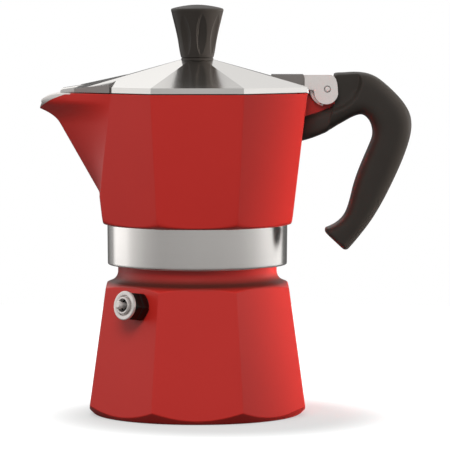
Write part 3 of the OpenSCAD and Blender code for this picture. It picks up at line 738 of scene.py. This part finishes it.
def make_collector():
    outer = Outline(0.0)
    inner = Outline(CHAMBER_WALL)
    top = follow(outer, rim_height)
    top_xy = outer.at(top)
    lip = smooth_step(46.0, 59.0, -top_xy[:, 0])
    roll = 0.25 + 0.25 * lip
    paint = np.minimum(follow(outer, paint_height), top - roll - 0.02)
    rings, kinds = [], []

    def add(xy, z, kind):
        rings.append(np.column_stack([xy, np.broadcast_to(z, (outer.count,))]))
        kinds.append(kind)

    unit = outer.at(RIM_Z - 50.0)
    unit = unit / np.linalg.norm(unit, axis=1)[:, None]

    # Underside, from the spigot hole outwards and down the threaded skirt
    hub_z = CUP_TOP - (CUP_TOP - FILTER_TOP) * (HUB_R - CUP_R) / (CUP_MOUTH_R - CUP_R)
    underside = round_profile([
        (HUB_R, HUB_FLOOR - 1.5), (HUB_R, hub_z), (CUP_MOUTH_R, FILTER_TOP), (FILTER_R, FILTER_TOP),
        (FILTER_R, GASKET_TOP), (GASKET_R, GASKET_TOP), (GASKET_R, FLANGE_TOP), (SKIRT_BORE, FLANGE_TOP),
        (SKIRT_BORE, COLLAR_Z), (COLLAR_R - 0.15, COLLAR_Z), (COLLAR_R, COLLAR_TOP - 0.5)],
        [0.3, 0.8, 0.2, 0.2, 0.2, 0.2, 0.2, 0.5, 0.7], 4)
    for r, z in underside[:-1]:
        add(unit * r, z, "machined" if r < SKIRT_BORE + 0.6 else "band")
    for z in np.linspace(COLLAR_Z + 1.2, COLLAR_TOP - 0.6, 12):
        add(unit * (COLLAR_R - 0.15 + 0.15 * (z - COLLAR_Z) / (COLLAR_TOP - COLLAR_Z)), z, "band")
    add(unit * COLLAR_R, COLLAR_TOP - 0.25, "band")
    add(unit * (COLLAR_R - 0.12), COLLAR_TOP - 0.1, "red")
    add(unit * COLLAR_R, COLLAR_TOP + 0.02, "red")

    # Foot of the red body, rounded under
    flare = 3.4
    reach = chamber_flat(COLLAR_TOP) / math.cos(HALF_TURN) + 1.0
    for dz in (0.05, 0.12, 0.25, 0.45, 0.7, 1.0, 1.4, 1.9, 2.5, 3.2, 4.0, 5.0):
        z = COLLAR_TOP + dz
        xy = outer.at(z)
        size = np.linalg.norm(xy, axis=1)
        t = min(dz / flare, 1.0)
        limit = COLLAR_R + (reach - COLLAR_R) * math.sqrt(1 - (1 - t) ** 2) if t < 1 else reach + 40
        add(xy * (smooth_min(size, limit, 1.3) / size)[:, None], z, "red")
    foot = COLLAR_TOP + 5.0
    for s in np.linspace(0, 1, 44)[1:]:
        z = foot * (1 - s) + paint * s
        add(outer.at(z), z, "red")
    # Rim: bare strip, rounded edge, land, inner edge
    edge_z = top - roll
    for s in (0.25, 0.5, 0.75):
        z = paint * (1 - s) + edge_z * s
        add(outer.at(z), z, "lip")
    edge = outer.at(edge_z)
    across = inner.at(np.minimum(top, RIM_Z)) - edge
    gap = np.linalg.norm(across, axis=1)
    across = across / gap[:, None]
    for t in np.radians((0, 18, 36, 54, 72, 90)):
        shift = roll * (1 - math.cos(t))
        add(edge + across * shift[:, None], top - roll * (1 - math.sin(t)), "lip")
    inside = np.minimum(0.5, gap * 0.3)
    for t in np.radians((90, 60, 30, 0)):
        shift = gap - inside * (1 - math.cos(t))
        add(edge + across * shift[:, None], top - inside * (1 - math.sin(t)), "lip")
    # Inside wall down to the floor, which rises to the column
    low = FLOOR_Z + FLOOR_FILLET
    for s in np.linspace(0, 1, 36)[1:]:
        z = (top - inside) * (1 - s) + low * s
        add(inner.at(z), z, "inside")
    base = inner.at(low)
    size = np.linalg.norm(base, axis=1)
    for a in (15, 30, 45, 60, 75, 90):
        t = math.radians(a)
        z = low - FLOOR_FILLET * math.sin(t)
        r = size - FLOOR_FILLET * (1 - math.cos(t))
        r = r * (1 - t / 2) + 28.0 * t / 2 if a > 30 else r
        add(base / size[:, None] * r[:, None], z + 0.15 * (90 - a) / 90, "inside")
    floor = [(27.5, FLOOR_Z), (14.5, FLOOR_Z + 2.0), (HUB_R, HUB_FLOOR), (HUB_R, HUB_FLOOR - 1.0)]
    for r, z in round_profile(floor, [3.0, 0.15], 5):
        add(unit * r, z, "inside")
    places = {"red": 0, "machined": 1, "band": 2, "lip": 3, "inside": 4}

    def material_of(j, centre):
        j = (j + 1) % len(kinds)
        painted = kinds[j] == "lip" and centre[0] > -BARE_LIP_X
        return 0 if painted else places[kinds[j]]

    obj = grid_object("chamber_shell", rings, [RED, MACHINED, BAND, LIP_METAL, CAST], material_of, loop=True)
    dress(obj, "collector", "red_paint", "collector")


def make_lug():
    """Arm cast on the chamber: it carries the hinge's knuckle and enters the handle."""
    outline = [(RIM_R + x, RIM_Z + z) for x, z in (
        (-4.2, -15.5), (9.8, -9.0), (22.8, -6.0), (22.8, 1.0), (12.4, 2.0), (11.4, -3.4), (-0.7, -0.1),
        (-4.2, -0.1))]
    arm = prism("hinge_lug", outline, -4.0, 4.0, [RED])
    half = EAR_IN - 0.3
    base = [(HINGE_X + x, HINGE_Z + z) for x, z in ((-3, -6), (3, -6), (3, 0), (-3, 0))]
    foot = prism("foot", base, -half, half, [RED])
    knuckle = prism("knuckle", arc(HINGE_X, HINGE_Z, PIN_R + 2.5, 0, 357, 47), -half, half, [RED])
    combine(arm, [foot, knuckle], "UNION")
    bevel(arm, 0.35, 30)
    dress(arm, "collector", "red_paint")
    for side in (-1, 1):
        low, high = sorted((side * 4.05, side * 6.1))
        rim = arc(HINGE_X, HINGE_Z, BOSS_OUTER_R, 184, 256, 16)
        rim += arc(HINGE_X, HINGE_Z, BOSS_INNER_R, 256, 184, 12)
        boss = prism("hinge_boss_" + ("near" if side < 0 else "far"), rim, low, high, [LIP_METAL])
        bevel(boss, 0.3, 30)
        dress(boss, "collector", "polished_aluminium")


# ---- handle

HANDLE_T = 18.4
CHEEK_HALF = 6.2
CHEEK_X = 51.5
CHEEK_Z = 135.0
CHEEK_R = 13.8
END_ROUND = 1.7
SECTION_POINTS = 112
SECTION_POWER = 0.62      # 1 would be an ellipse, 0 a rectangle
SCREW_X = RIM_R + 15.0
SCREW_SEAT_Z = RIM_Z - 8.4
SCREW_HEAD_R = 3.1
# Stations: [outer x, outer z, inner x, inner z, share of full thickness], measured from the rim's edge
HANDLE_STATIONS = (
    (-1.6, -9.2, -2.5, -19.4, 0.72), (3.6, -7.6, 1.6, -18.2, 0.80), (8.6, -5.7, 5.4, -16.7, 0.87),
    (10.2, -4.6, 7.2, -15.9, 0.93), (10.4, 1.0, 8.4, -15.1, 0.97), (10.5, 6.8, 9.6, -14.4, 0.99),
    (10.8, 7.7, 10.4, -13.9, 1.0), (12.0, 7.95, 12.0, -12.9, 1.0), (14.7, 8.05, 14.7, -11.4, 1.0),
    (18.7, 8.3, 17.5, -9.8, 1.0),
    (22.7, 8.0, 19.9, -8.9, 1.0), (25.9, 7.0, 21.2, -8.8, 1.0), (28.7, 5.4, 22.3, -9.0, 1.0),
    (32.7, 2.0, 24.2, -10.5, 1.0), (36.7, -2.0, 25.4, -12.8, 1.0), (40.3, -7.0, 25.9, -15.2, 0.99),
    (41.6, -12.6, 25.8, -17.4, 0.98), (40.4, -19.8, 24.9, -20.2, 0.97), (36.8, -29.4, 21.5, -27.9, 0.94),
    (32.3, -39.0, 18.7, -35.4, 0.90), (28.7, -45.8, 17.5, -40.2, 0.87), (25.1, -51.6, 16.1, -45.6, 0.84),
    (21.9, -55.8, 13.9, -50.2, 0.82), (18.7, -59.8, 9.9, -53.0, 0.80), (16.4, -62.4, 7.4, -54.0, 0.79))


def spline(points, per_span):
    """Points on a smooth curve through the given ones."""
    pts = np.asarray(points, dtype=float)
    out = []
    for i in range(len(pts) - 1):
        before = pts[i - 1] if i else 2 * pts[0] - pts[1]
        after = pts[i + 2] if i + 2 < len(pts) else 2 * pts[-1] - pts[-2]
        a, b = pts[i], pts[i + 1]
        for k in range(per_span):
            t = k / per_span
            out.append(0.5 * (2 * a + (b - before) * t + (2 * before - 5 * a + 4 * b - after) * t * t
                              + (3 * a - before - 3 * b + after) * t ** 3))
    out.append(pts[-1])
    return np.array(out)


SOFT_FROM = 104           # the points before this one carry the sharp corner at the hinge


def softened(points, reach):
    """Running mean over reach neighbours on each side, with the corner at the hinge and both ends kept."""
    out = points.copy()
    n = len(points)
    for i in range(n):
        k = min(reach, max((i - SOFT_FROM) // 2, 0), n - 1 - i)
        out[i] = points[i - k:i + k + 1].mean(axis=0)
    return out


def handle_section(outer, inner, half, shrink=0.0):
    """Rounded section between an outer and an inner point, thinned where the hinge's ears sweep."""
    mid, arm = (outer + inner) / 2, (outer - inner) / 2
    size = np.linalg.norm(arm)
    arm = arm * max(size - shrink, 0.05) / size
    half = max(half - shrink, 0.05)
    ring = []
    for i in range(SECTION_POINTS):
        turn = polar(1, 2 * math.pi * i / SECTION_POINTS)
        u, v = (math.copysign(abs(c) ** SECTION_POWER, c) for c in turn)
        x, z = mid + arm * u
        y = half * v
        reach = math.hypot(x - CHEEK_X, z - CHEEK_Z)
        rise = float(smooth_step(CHEEK_R - 1.3, CHEEK_R + 1.2, reach))
        limit = CHEEK_HALF + (HANDLE_T / 2 + 0.05 - CHEEK_HALF) * rise
        ring.append((x, float(smooth_min(abs(y), limit, 0.5)) * (1 if y >= 0 else -1), z))
    return ring


def station_ends(station):
    """Outer and inner point of a station, in the part's own frame."""
    return (np.array([RIM_R + station[0], RIM_Z + station[1]]),
            np.array([RIM_R + station[2], RIM_Z + station[3]]))


def make_handle():
    stations = softened(spline(HANDLE_STATIONS, 14), 9)
    rings = [handle_section(*station_ends(s), HANDLE_T / 2 * s[4]) for s in stations]
    outer, inner = station_ends(stations[-1])
    half = HANDLE_T / 2 * stations[-1][4]
    forward = np.array([inner[1] - outer[1], outer[0] - inner[0]])
    forward = -forward / np.linalg.norm(forward)
    for t in np.radians((12, 24, 36, 48, 60, 70, 80, 90)):
        step = forward * END_ROUND * math.sin(t)
        rings.append(handle_section(outer + step, inner + step, half, END_ROUND * (1 - math.cos(t))))
    obj = grid_object("handle_grip", rings, [BLACK])
    place = Matrix.Translation(Vector((SCREW_X, 0.0, 0.0)) * MM)
    bore = drill("screw_bore", SCREW_HEAD_R, RIM_Z - 30, SCREW_SEAT_Z, BLACK, place)
    combine(obj, [bore], "DIFFERENCE")
    dress(obj, "collector", "black_plastic", "handle")


# ---- lid

def octagon(flat, z):
    corner = flat / math.cos(HALF_TURN)
    return [(*polar(corner, (2 * i + 1) * HALF_TURN), z) for i in range(FACETS)]


def stack(name, rings, materials):
    """Solid through a few rings, flat-sided."""
    n = len(rings[0])
    verts = [v for ring in rings for v in ring]
    faces = [tuple(range(n)), tuple((len(rings) - 1) * n + n - 1 - i for i in range(n))]
    for j in range(len(rings) - 1):
        for i in range(n):
            k = (i + 1) % n
            faces.append((j * n + i, j * n + k, (j + 1) * n + k, (j + 1) * n + i))
    return new_object(name, verts, faces, materials, smooth=False)


# Roof over the spout, as [x, y, z] of its ridge's ends and of its side and front corners
NOSE_RIDGE = ((-28.0, 0.0, 135.75), (-46.2, 0.0, 131.8))
NOSE_SIDE = (-34.5, 28.0, 132.2)
NOSE_FRONT = (-48.8, 13.6, 130.35)


def nose_solid(name, inset, materials):
    """Roof over the spout: upright walls on the spout's outline under a ridge and two sloping planes."""
    low = LID_Z - (2.0 if inset else 0.0)
    back, front = NOSE_RIDGE
    side_x, side_y, side_z = NOSE_SIDE[0] + inset * 0.3, NOSE_SIDE[1] - inset, NOSE_SIDE[2] - inset
    corner_x, corner_y, corner_z = NOSE_FRONT[0] + inset, NOSE_FRONT[1] - inset * 0.6, NOSE_FRONT[2] - inset
    top = [(back[0], 0.0, back[2] - inset), (side_x, -side_y, side_z), (corner_x, -corner_y, corner_z),
           (front[0] + inset, 0.0, front[2] - inset), (corner_x, corner_y, corner_z),
           (side_x, side_y, side_z)]
    n = len(top)
    verts = [(x, y, low) for x, y, z in top] + top
    faces = [(0, 1, 2, 3), (0, 3, 4, 5), (6, 7, 9), (7, 8, 9), (6, 9, 11), (9, 10, 11)]
    faces += [(i, n + i, n + (i + 1) % n, (i + 1) % n) for i in range(n)]
    return new_object(name, verts, faces, materials, smooth=False)


def tongue_solid(name, inset, materials):
    """Narrow tongue in front of the roof, over the spout's throat."""
    low = LID_Z - 0.35 - (2.0 if inset else 0.0)
    half = 5.6 - inset
    rings = []
    for x, top in ((-40.0, 132.5 - inset), (-53.6 + inset, 130.4 - inset), (-54.5 + inset, 129.8 - inset)):
        rings.append([(x, -half, low), (x, half, low), (x, half, top - 0.5), (x, half * 0.8, top),
                      (x, -half * 0.8, top), (x, -half, top - 0.5)])
    return stack(name, rings, materials)


def ear_outline():
    """Side outline of an ear: straight top and back edge, round foot under the pin."""
    foot = arc(HINGE_X - 0.5, HINGE_Z - 1.3, 4.75, 186, 352, 28)
    top = [(55.75, 130.9), (55.5, 132.6), (55.0, 134.1), (54.0, 135.3), (43.0, 135.3), (42.7, 135.0),
           (42.7, 131.4), (44.3, 129.8), (46.3, 129.75)]
    return foot + top


def lid_finish(centre, normal):
    """Finish of a face by its centre in millimetres: 0 polished, 1 tumbled ears, 2 upright walls in a dark
    grey that is painted shade.
    """
    x, y, z = centre
    if x > 42.3 and abs(y) > EAR_IN - 0.05:
        return 1
    upright = abs(normal.z) < 0.5
    # Upright walls of the rib, the nose and its valleys get the dark grey of painted shade
    if x > 28.0 and abs(y) < RIB_HALF + 0.1 and upright and z > LID_Z + 0.2 and z < HINGE_Z + 5.5:
        return 2
    across = max(abs(x), abs(y), (abs(x) + abs(y)) / math.sqrt(2))
    if -48.4 < x < -28.0 and upright and abs(across - LID_FLAT) > 0.15 and z > LID_Z + 0.1:
        return 2
    return 0


def make_lid():
    skin = [LID_METAL]
    shell = stack("lid_shell", [octagon(LID_FLAT, LID_Z), octagon(LID_FLAT, LID_EDGE_Z),
                                octagon(KNOB_SEAT_R, LID_TOP)], skin)
    rib_top = HINGE_Z + 5.7
    rib_back = RIM_R - 14.5
    rib = prism("rib", [(rib_back, LID_EDGE_Z), (45.5, LID_EDGE_Z - 1.2), (45.5, HINGE_Z + 1.2),
                        (42.9, rib_top - 2.2), (42.3, rib_top), (rib_back, rib_top)],
                -RIB_HALF, RIB_HALF, skin)
    ears = [prism("ear", ear_outline(), *span, skin) for span in ((-EAR_OUT, -EAR_IN), (EAR_IN, EAR_OUT))]
    combine(shell, [nose_solid("nose", 0.0, skin), tongue_solid("tongue", 0.0, skin), rib] + ears, "UNION")
    inside = LID_FLAT - LID_T
    hollow = stack("hollow", [octagon(inside, LID_Z - 1), octagon(inside, LID_EDGE_Z - LID_T),
                              octagon(KNOB_SEAT_R - 1, LID_TOP - LID_T)], skin)
    bore = drill("bore", PIN_R + 0.12, -12.0, 12.0, LID_METAL, hinge_place())
    combine(shell, [hollow, nose_solid("nose_hollow", LID_T, skin),
                    tongue_solid("tongue_hollow", LID_T, skin), bore], "DIFFERENCE")
    bevel(shell, 0.13, 12)
    shell.data.materials.clear()
    for finish in (LID_METAL, EAR_METAL, RECESS_SHADE_METAL):
        shell.data.materials.append(finish)
    for face in shell.data.polygons:
        face.material_index = lid_finish(face.center / MM, face.normal)
    dress(shell, "lid", "polished_aluminium", "lid")


def hinge_place():
    """Matrix of the hinge's own frame: Z runs along the pin."""
    return Matrix.Translation((HINGE_X * MM, 0, HINGE_Z * MM)) @ Matrix.Rotation(math.radians(90), 4, "X")


def make_pin():
    """Hinge pin with a rounded, slightly sunk head in each ear."""
    end = EAR_OUT + 0.12
    neck = PIN_R - 0.27
    profile = round_profile([
        (0.001, -end), (neck, -end), (neck, -end + 1.3), (PIN_R, -end + 1.35), (PIN_R, end - 1.35),
        (neck, end - 1.3), (neck, end), (0.001, end)], [0.2, 0.05, 0.05, 0.05, 0.05, 0.2], 4)
    pin = turned("hinge_pin_rod", profile, EAR_METAL, 64, hinge_place())
    dress(pin, "collector", "bright_steel", "hinge_pin")


# ---- knob

FLUTE_TURN = 11.5         # degrees
FLUTE_LOW = 143.6
FLUTE_HIGH = 159.6
FLUTE_HALF = 15.5         # degrees
FLUTE_DEPTH = 1.05


def make_knob():
    profile = spline([(5.2, 141.0), (6.3, 141.1), (6.45, 141.5), (6.4, 142.1), (6.1, 142.3), (6.45, 142.55),
                      (6.6, 143.0), (6.85, 144.0), (7.2, 145.9), (7.8, 149.5), (8.55, 153.1),
                      (9.4, 156.7), (10.2, 160.0), (10.45, 161.0), (10.45, 161.6), (10.0, 162.0),
                      (8.0, 162.55), (5.0, 163.1), (2.5, 163.4), (0.4, 163.5)], 6)
    angles = np.linspace(0, 2 * math.pi, 400, endpoint=False)
    pitch = 2 * math.pi / FACETS
    local = (angles - math.radians(FLUTE_TURN) + pitch / 2) % pitch - pitch / 2
    rings = []
    for r, z in profile:
        s = np.clip((z - FLUTE_LOW) / (FLUTE_HIGH - FLUTE_LOW), 0.0, 1.0)
        swell = math.sin(math.pi * s ** 0.9)
        width = math.radians(FLUTE_HALF) * swell ** 0.6 + 1e-6
        dip = FLUTE_DEPTH * swell ** 0.8 * np.clip(1 - (local / width) ** 2, 0, 1)
        rings.append(ring_points(r - dip, angles, z))
    obj = grid_object("knob_grip", rings, [BLACK])
    dress(obj, "lid", "black_plastic", "knob")


# ---- safety valve

VALVE_Z = 45.1
VALVE_SIDE = 5.4
VALVE_FLATS = 10.4
VALVE_REACH = 8.0
VALVE_BORE_R = 4.25


def valve_place():
    """Matrix of the valve's own frame: Z leaves the wall."""
    slope = math.atan((BOILER_FLATS - SHOULDER_FLATS) / 2 / BOILER_H)
    centre = Vector((boiler_flat(VALVE_Z), VALVE_SIDE, VALVE_Z))
    turn = Matrix.Rotation(math.radians(225), 4, "Z")
    lean = Matrix.Rotation(math.pi / 2 - slope, 4, "Y")
    return turn @ Matrix.Translation(centre * MM) @ lean


def make_valve():
    place = valve_place()
    half, reach = VALVE_FLATS / 2, VALVE_REACH
    angles = np.linspace(0, 2 * math.pi, 240, endpoint=False)
    local = np.abs((angles + math.pi / 6) % (math.pi / 3) - math.pi / 6)
    hexagon = smooth_min(half / np.cos(local), half / np.cos(math.pi / 3 - local), 0.25)
    corner = half / math.cos(math.pi / 6)
    places = [(1.6, -6.0), (4.2, -6.0), (4.2, 0.3), (4.6, 0.5)]
    for z in (0.6, 0.62, 0.7, 0.85, 1.05, 1.3):
        places.append((smooth_min(hexagon, corner - 0.55 + (z - 0.6) * 1.2, 0.3), z))
    places += [(hexagon, z) for z in (1.8, 3.4, 3.6)]
    places += [(hexagon - 0.18, z) for z in (3.75, 3.95)]
    places += [(hexagon, z) for z in (4.1, 4.4, 5.4, 6.4)]
    for z in (7.0, 7.25, 7.45, 7.6, 7.7):
        places.append((smooth_min(hexagon, corner - 0.3 - (z - 7.0) * 1.2, 0.3), z))
    places += [(5.4, 7.75), (5.1, 7.8), (3.2, 7.8), (3.2, -2.5), (1.6, -2.5)]
    rings = [ring_points(r, angles, z) for r, z in places]
    body = grid_object("valve_hexagon", rings, [DARK_STEEL], loop=True)
    body.data.transform(place)
    dress(body, "boiler", "dark_steel", "valve_body")
    ring = turned("valve_ring", round_profile([
        (2.55, reach - 0.5), (2.55, reach + 1.75), (3.4, reach + 1.75), (3.5, reach - 0.05),
        (3.85, reach - 0.05), (4.0, reach + 0.85), (5.75, reach + 0.95), (5.75, reach - 0.1),
        (3.3, reach - 0.1), (2.55, reach - 0.5)],
        [0.3, 0.3, 0.05, 0.05, 0.3, 0.45, 0.05, 0.05], 4), SATIN_STEEL, 128, place)
    dress(ring, "boiler", "bright_steel", "valve_retainer")


# ---- stage, light and camera

FLOOR_R = 480.0           # millimetres
FLOOR_COLOR = (0.27, 0.29, 0.29)
FLOOR_MATTE = (0.15, 0.148, 0.146)
# The floor's glow for camera rays, low near the pot and rising to white farther out, which paints shade
# around
# the base on top of the real shadow: its level near the pot, and its centre and reach in metres
SHADED_FLOOR_GLOW = 0.48
PAINTED_SHADE_CENTRE = (0.009, -0.012, 0.0)
SHADE_FADE_START = 0.045
SHADE_FADE_END = 0.088
AMBIENT = 0.7

# What reflections see, by azimuth in degrees from the camera's side towards the handle
HORIZON = ((-180, 0.10), (-157, 0.12), (-152, 0.28), (-137, 0.32), (-132, 1.3), (-103, 1.25), (-95, 0.9),
           (-85, 0.75), (-68, 0.54), (-50, 0.43), (-20, 0.46), (0, 0.49), (30, 0.51), (56, 0.56), (75, 0.70),
           (96, 1.0), (125, 1.25), (136, 1.2), (142, 0.12), (180, 0.10))
UPPER = ((-180, 0.55), (-179, 0.9), (-172, 1.1), (-120, 1.05), (-100, 0.7), (-60, 0.45), (0, 0.35),
         (60, 0.30), (110, 0.34), (150, 0.5), (170, 0.85), (177, 0.8), (180, 0.5))
# Heights of a direction, as its Z, between which the upper table takes over
UPPER_FADE = (math.sin(math.radians(12)), math.sin(math.radians(22)))
# Heights between which the level falls below the horizon, and the levels there
LOW_FADE = (-0.20, -0.10, 0.40, 1.0)


def ray_switch(owner, ray, other, shown):
    """The shader shown for one kind of ray and the other one for the rest."""
    kind = add_node(owner, "LightPath").outputs[ray]
    return add_node(owner, "MixShader", kind, other, shown).outputs["Shader"]


def make_floor():
    """Floor with the pot's real shadow near it, and painted shade where its glow is lower close to the pot,
    white farther out. Only camera rays see it pale.
    """
    ring = [(*polar(FLOOR_R, 2 * math.pi * i / 128), -0.05) for i in range(128)]
    floor = new_object("floor", ring, [tuple(range(len(ring)))], [])
    mat = bpy.data.materials.new("studio_floor_painted_shade")
    mat.use_nodes = True
    mat.node_tree.nodes.clear()
    matte = add_node(mat, "BsdfDiffuse", Color=(*FLOOR_MATTE, 1.0))
    shown = add_node(mat, "BsdfDiffuse", Color=(*FLOOR_COLOR, 1.0))
    place = add_node(mat, "TexCoord").outputs["Object"]
    away = add_node(mat, "VectorMath", place, PAINTED_SHADE_CENTRE, operation="DISTANCE").outputs["Value"]
    # Glow lower near the pot: painted shade around the base
    rise = fade(mat, away, SHADE_FADE_START, SHADE_FADE_END, SHADED_FLOOR_GLOW, 1.0, "SMOOTHSTEP")
    glow = add_node(mat, "Emission", Strength=rise)
    lit = add_node(mat, "AddShader", shown.outputs["BSDF"], glow.outputs["Emission"])
    surface = ray_switch(mat, "Is Camera Ray", matte.outputs["BSDF"], lit.outputs["Shader"])
    add_node(mat, "OutputMaterial", Surface=surface)
    floor.data.materials.append(mat)
    floor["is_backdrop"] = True


def azimuth_ramp(owner, turn, table):
    """Color ramp over the full circle from a table of degrees and levels."""
    node = add_node(owner, "ValToRGB", turn)
    ramp = node.color_ramp
    while len(ramp.elements) > 1:
        ramp.elements.remove(ramp.elements[0])
    for i, (degrees, level) in enumerate(table):
        place = degrees / 360 + 0.5
        element = ramp.elements[0] if i == 0 else ramp.elements.new(place)
        element.position = place
        element.color = (level, level * 0.985, level * 0.97, 1.0)
    return node.outputs["Color"]


def make_world():
    """White for camera rays, an even level for diffuse rays, and the tables above for reflections."""
    world = bpy.data.worlds.new("studio")
    bpy.context.scene.world = world
    world.use_nodes = True
    world.node_tree.nodes.clear()
    place = add_node(world, "TexCoord").outputs["Generated"]
    axes = add_node(world, "SeparateXYZ", place).outputs
    back = add_math(world, "MULTIPLY", axes["Y"], -1.0)
    azimuth = add_math(world, "ARCTAN2", axes["X"], back)
    turn = add_math(world, "MULTIPLY_ADD", azimuth, 0.5 / math.pi, 0.5)
    rise = fade(world, axes["Z"], *UPPER_FADE, interpolation="SMOOTHSTEP")
    color = mix_colors(world, rise, azimuth_ramp(world, turn, HORIZON), azimuth_ramp(world, turn, UPPER))
    reflected = add_node(world, "Background", color, fade(world, axes["Z"], *LOW_FADE))
    ambient = add_node(world, "Background", (AMBIENT, AMBIENT * 0.99, AMBIENT * 0.98, 1.0))
    seen = add_node(world, "Background", (1, 1, 1, 1))
    lit = ray_switch(world, "Is Diffuse Ray", reflected.outputs[0], ambient.outputs[0])
    surface = ray_switch(world, "Is Camera Ray", lit, seen.outputs[0])
    add_node(world, "OutputWorld", Surface=surface)


CAMERA_PLACE = (0.0, -1.28, 0.160)
CAMERA_YAW = math.radians(0.496)
CAMERA_PITCH = math.radians(3.783)


def make_camera():
    """The photograph's view, fitted to its outlines."""
    data = bpy.data.cameras.new("camera")
    data.lens = 256.0
    data.sensor_width = 36.0
    data.clip_start = 0.05
    data.clip_end = 50.0
    camera = add_object("camera", data)
    camera.location = CAMERA_PLACE
    camera.rotation_euler = (math.pi / 2 - CAMERA_PITCH, 0.0, -CAMERA_YAW)
    bpy.context.scene.camera = camera


def area_light(name, location, target, size, power, spread=180.0):
    """Rectangular lamp that reflections and the camera don't see."""
    data = bpy.data.lights.new(name, "AREA")
    data.shape = "RECTANGLE"
    data.size, data.size_y = size
    data.energy = power
    data.spread = math.radians(spread)
    data.color = (1.0, 0.985, 0.97)
    lamp = add_object(name, data)
    lamp.location = location
    direction = Vector(target) - Vector(location)
    lamp.rotation_euler = direction.to_track_quat("-Z", "Y").to_euler()
    lamp.visible_glossy = False
    lamp.visible_camera = False


def make_lights():
    area_light("front_key", (-0.23, -1.29, 1.01), (0.0, 0.0, 0.08), (0.8, 0.6), 15.6)
    area_light("right_strip", (0.9, 0.05, 0.12), (0.0, 0.05, 0.09), (0.08, 0.36), 0.95, spread=8.0)


finish_cad_nodes()
make_boiler()
make_threads()
make_collector()
make_lug()
make_handle()
make_lid()
make_pin()
make_knob()
make_valve()
make_floor()
make_world()
make_camera()
make_lights()

bpy.context.scene.view_settings.view_transform = "Standard"
sizes = [[[float(c) for c in corner] for corner in box] for box in (cad_box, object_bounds())]
